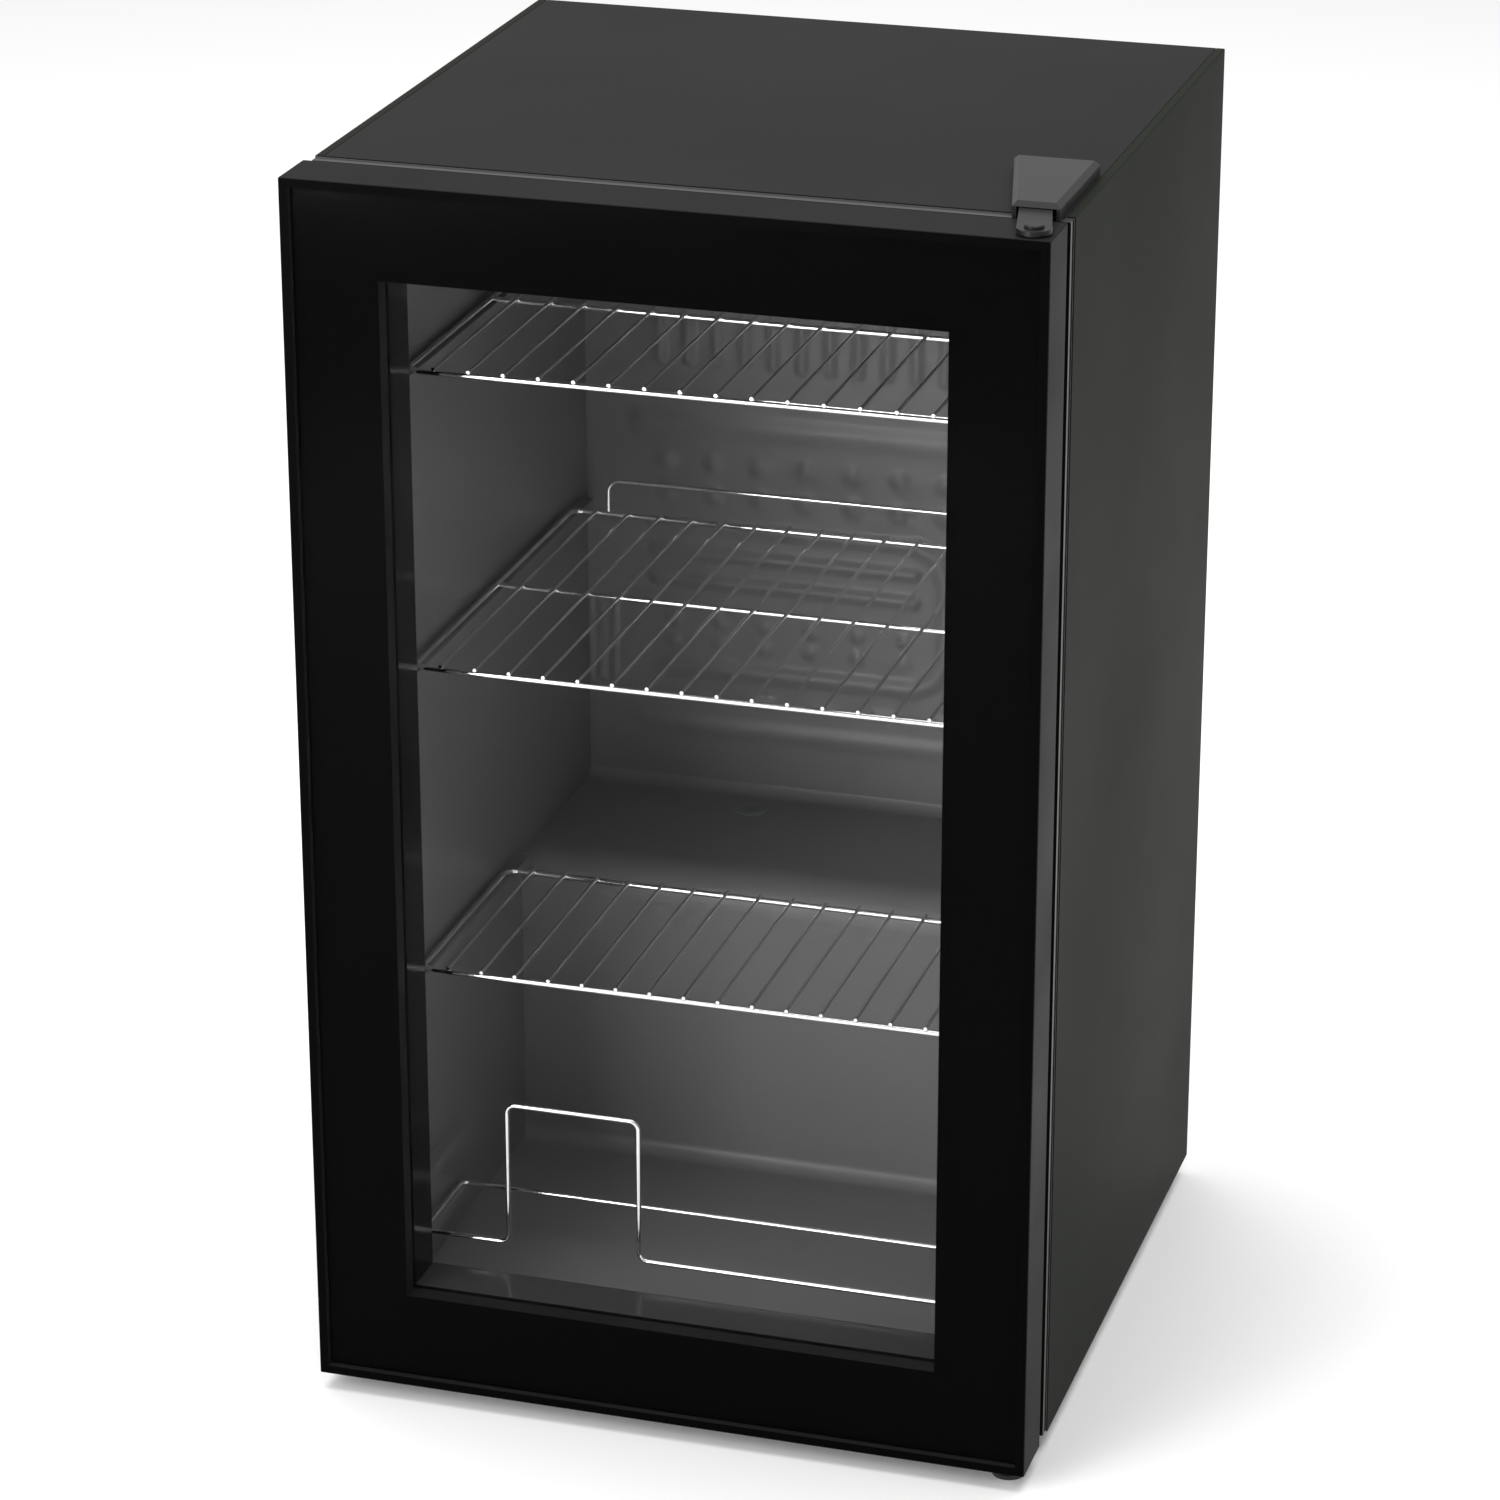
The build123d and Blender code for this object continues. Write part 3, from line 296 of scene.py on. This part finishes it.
WALL_X = (44.0, 426.0)
WALL_Z = (257.0, 752.0)
WALL_Y = 437.0
WALL_PITCH = 2.0
WALL_SKIN = 0.5
WALL_BACK_GAP = 0.05
UPPER_RIBS = 15
UPPER_RIB_PITCH = 20
DIMPLE_PITCH = 33


def bump(distance, width):
    """A rounded ridge section: 1 on its line, falling to 0 at width."""
    share = np.clip(distance / width, 0, 1)
    return (np.cos(share * math.pi) + 1) / 2


def to_segment(x, z, start, end):
    ax, az = start
    dx, dz = end[0] - ax, end[1] - az
    t = np.clip(((x - ax) * dx + (z - az) * dz) / (dx * dx + dz * dz), 0, 1)
    return np.hypot(x - ax - t * dx, z - az - t * dz)


def wall_relief(x, z):
    """How far the moulded rear wall stands out, in millimetres."""
    height = np.zeros_like(x)

    def channel(points, width, rise):
        nonlocal height
        for start, end in zip(points, points[1:]):
            height = np.maximum(height, rise * bump(to_segment(x, z, start, end), width))

    for index in range(UPPER_RIBS):
        rib = 96 + index * UPPER_RIB_PITCH
        channel([(rib, 566), (rib, 728)], 6.5, 3.0)
    for row in (407, 427, 447):
        channel([(92, row), (276, row)], 7.0, 2.8)
    channel([(276, 447), (292, 440), (298, 420), (298, 366), (290, 350), (276, 343), (98, 343)], 9.0, 3.0)
    for rib in (318, 338, 358, 378):
        channel([(rib, 343), (rib, 452)], 9.0, 3.0)
    for index in range(3):
        rib = 43 + index * 9
        channel([(rib, 328), (rib, 388)], 4.0, 1.2)
    for row in (493, 470):
        for index in range(9):
            spot = np.hypot(x - 100 - index * DIMPLE_PITCH, z - row)
            height = np.maximum(height, 2.6 * bump(spot, 10.0))
    for row in (378, 362):
        for index in range(6):
            spot = np.hypot(x - 104 - index * DIMPLE_PITCH, z - row)
            height = np.maximum(height, 2.0 * bump(spot, 7.5))
    for index in range(5):
        channel([(112 + index * 46, 322), (128 + index * 46, 322)], 4.5, 2.0)
    channel([(84, 520), (386, 520)], 12.0, 2.2)
    channel([(84, 300), (386, 300)], 10.0, 1.8)
    return height


def make_rear_wall():
    across = np.linspace(*WALL_X, int((WALL_X[1] - WALL_X[0]) / WALL_PITCH) + 1)
    up = np.linspace(*WALL_Z, int((WALL_Z[1] - WALL_Z[0]) / WALL_PITCH) + 1)
    x, z = np.meshgrid(across, up)
    height = wall_relief(x, z)
    columns, rows = len(across), len(up)
    vertices = []
    for depth in (WALL_Y - WALL_SKIN - height, np.full_like(x, WALL_Y - WALL_BACK_GAP)):
        vertices += [at(*p) for p in zip(x.ravel(), depth.ravel(), z.ravel())]
    back = columns * rows
    faces = []
    for row in range(rows - 1):
        for column in range(columns - 1):
            a = row * columns + column
            faces.append((a, a + 1, a + columns + 1, a + columns))
            faces.append((back + a, back + a + columns, back + a + columns + 1, back + a + 1))
    edge = list(range(columns))
    edge += [r * columns + columns - 1 for r in range(1, rows)]
    edge += [(rows - 1) * columns + c for c in range(columns - 2, -1, -1)]
    edge += [r * columns for r in range(rows - 2, 0, -1)]
    for first, second in zip(edge, edge[1:] + edge[:1]):
        faces.append((first, back + first, back + second, second))
    add_mesh("rear_wall_relief", vertices, faces, MATERIALS["liner_grey"], "cabinet", 60)


make_print()
make_seal()
make_rear_wall()


# ---------------------------------------------------------------- camera

CAMERA_PLACE = (1123.8, -2739.8, 1620.8)
CAMERA_AZIMUTH = math.radians(16.894)
CAMERA_ELEVATION = math.radians(21.911)
CAMERA_ROLL = math.radians(0.04)
CAMERA_LENS = 123.54


def make_camera():
    data = bpy.data.cameras.new("camera")
    data.sensor_width = 36.0
    data.lens = CAMERA_LENS
    data.clip_start = 0.05
    data.clip_end = 100.0
    camera = bpy.data.objects.new("camera", data)
    bpy.context.scene.collection.objects.link(camera)
    look = Vector((-math.sin(CAMERA_AZIMUTH) * math.cos(CAMERA_ELEVATION),
                   math.cos(CAMERA_AZIMUTH) * math.cos(CAMERA_ELEVATION), -math.sin(CAMERA_ELEVATION)))
    camera.location = at(*CAMERA_PLACE)
    camera.rotation_mode = "QUATERNION"
    camera.rotation_quaternion = Quaternion(look, CAMERA_ROLL) @ look.to_track_quat("-Z", "Y")
    bpy.context.scene.camera = camera


make_camera()


# ---------------------------------------------------------------- floor and light

def make_floor():
    mesh = bpy.data.meshes.new("floor")
    reach = FLOOR_REACH
    mesh.from_pydata([(-reach, -reach, 0), (reach, -reach, 0), (reach, reach, 0), (-reach, reach, 0)], [],
                     [(0, 1, 2, 3)])
    floor = bpy.data.objects.new("floor", mesh)
    bpy.context.scene.collection.objects.link(floor)
    material = bpy.data.materials.new("pale_floor")
    material.use_nodes = True
    shader = material.node_tree.nodes["Principled BSDF"]
    shader.inputs["Base Color"].default_value = (0.97, 0.97, 0.97, 1)
    shader.inputs["Roughness"].default_value = 0.9
    shader.inputs["Specular IOR Level"].default_value = 0.0
    mesh.materials.append(material)


def area_light(name, place, target, size, power):
    data = bpy.data.lights.new(name, "AREA")
    data.shape = "RECTANGLE"
    data.size, data.size_y = size
    data.energy = power
    light = bpy.data.objects.new(name, data)
    bpy.context.scene.collection.objects.link(light)
    light.location = place
    light.rotation_mode = "QUATERNION"
    light.rotation_quaternion = (Vector(target) - Vector(place)).to_track_quat("-Z", "Y")


def make_light():
    world = bpy.data.worlds.new("studio")
    world.use_nodes = True
    bpy.context.scene.world = world
    world.node_tree.nodes["Background"].inputs["Color"].default_value = (1, 1, 1, 1)
    world.node_tree.nodes["Background"].inputs["Strength"].default_value = 0.62
    area_light("overhead", (0, 0.3, 4.0), (0, 0, 0.4), (4.0, 4.0), 150)
    area_light("front_left", (-1.9, -2.6, 1.9), (0, 0, 0.4), (1.6, 2.0), 45)
    area_light("front_low", (-0.75, -2.2, 0.62), (0.1, 0.1, 0.4), (0.8, 0.8), 18)
    area_light("cavity_glow", at(316, 130, 722), at(316, 130, 300), (0.12, 0.05), 0.08)


make_floor()
make_light()
bpy.context.scene.view_settings.view_transform = "Standard"
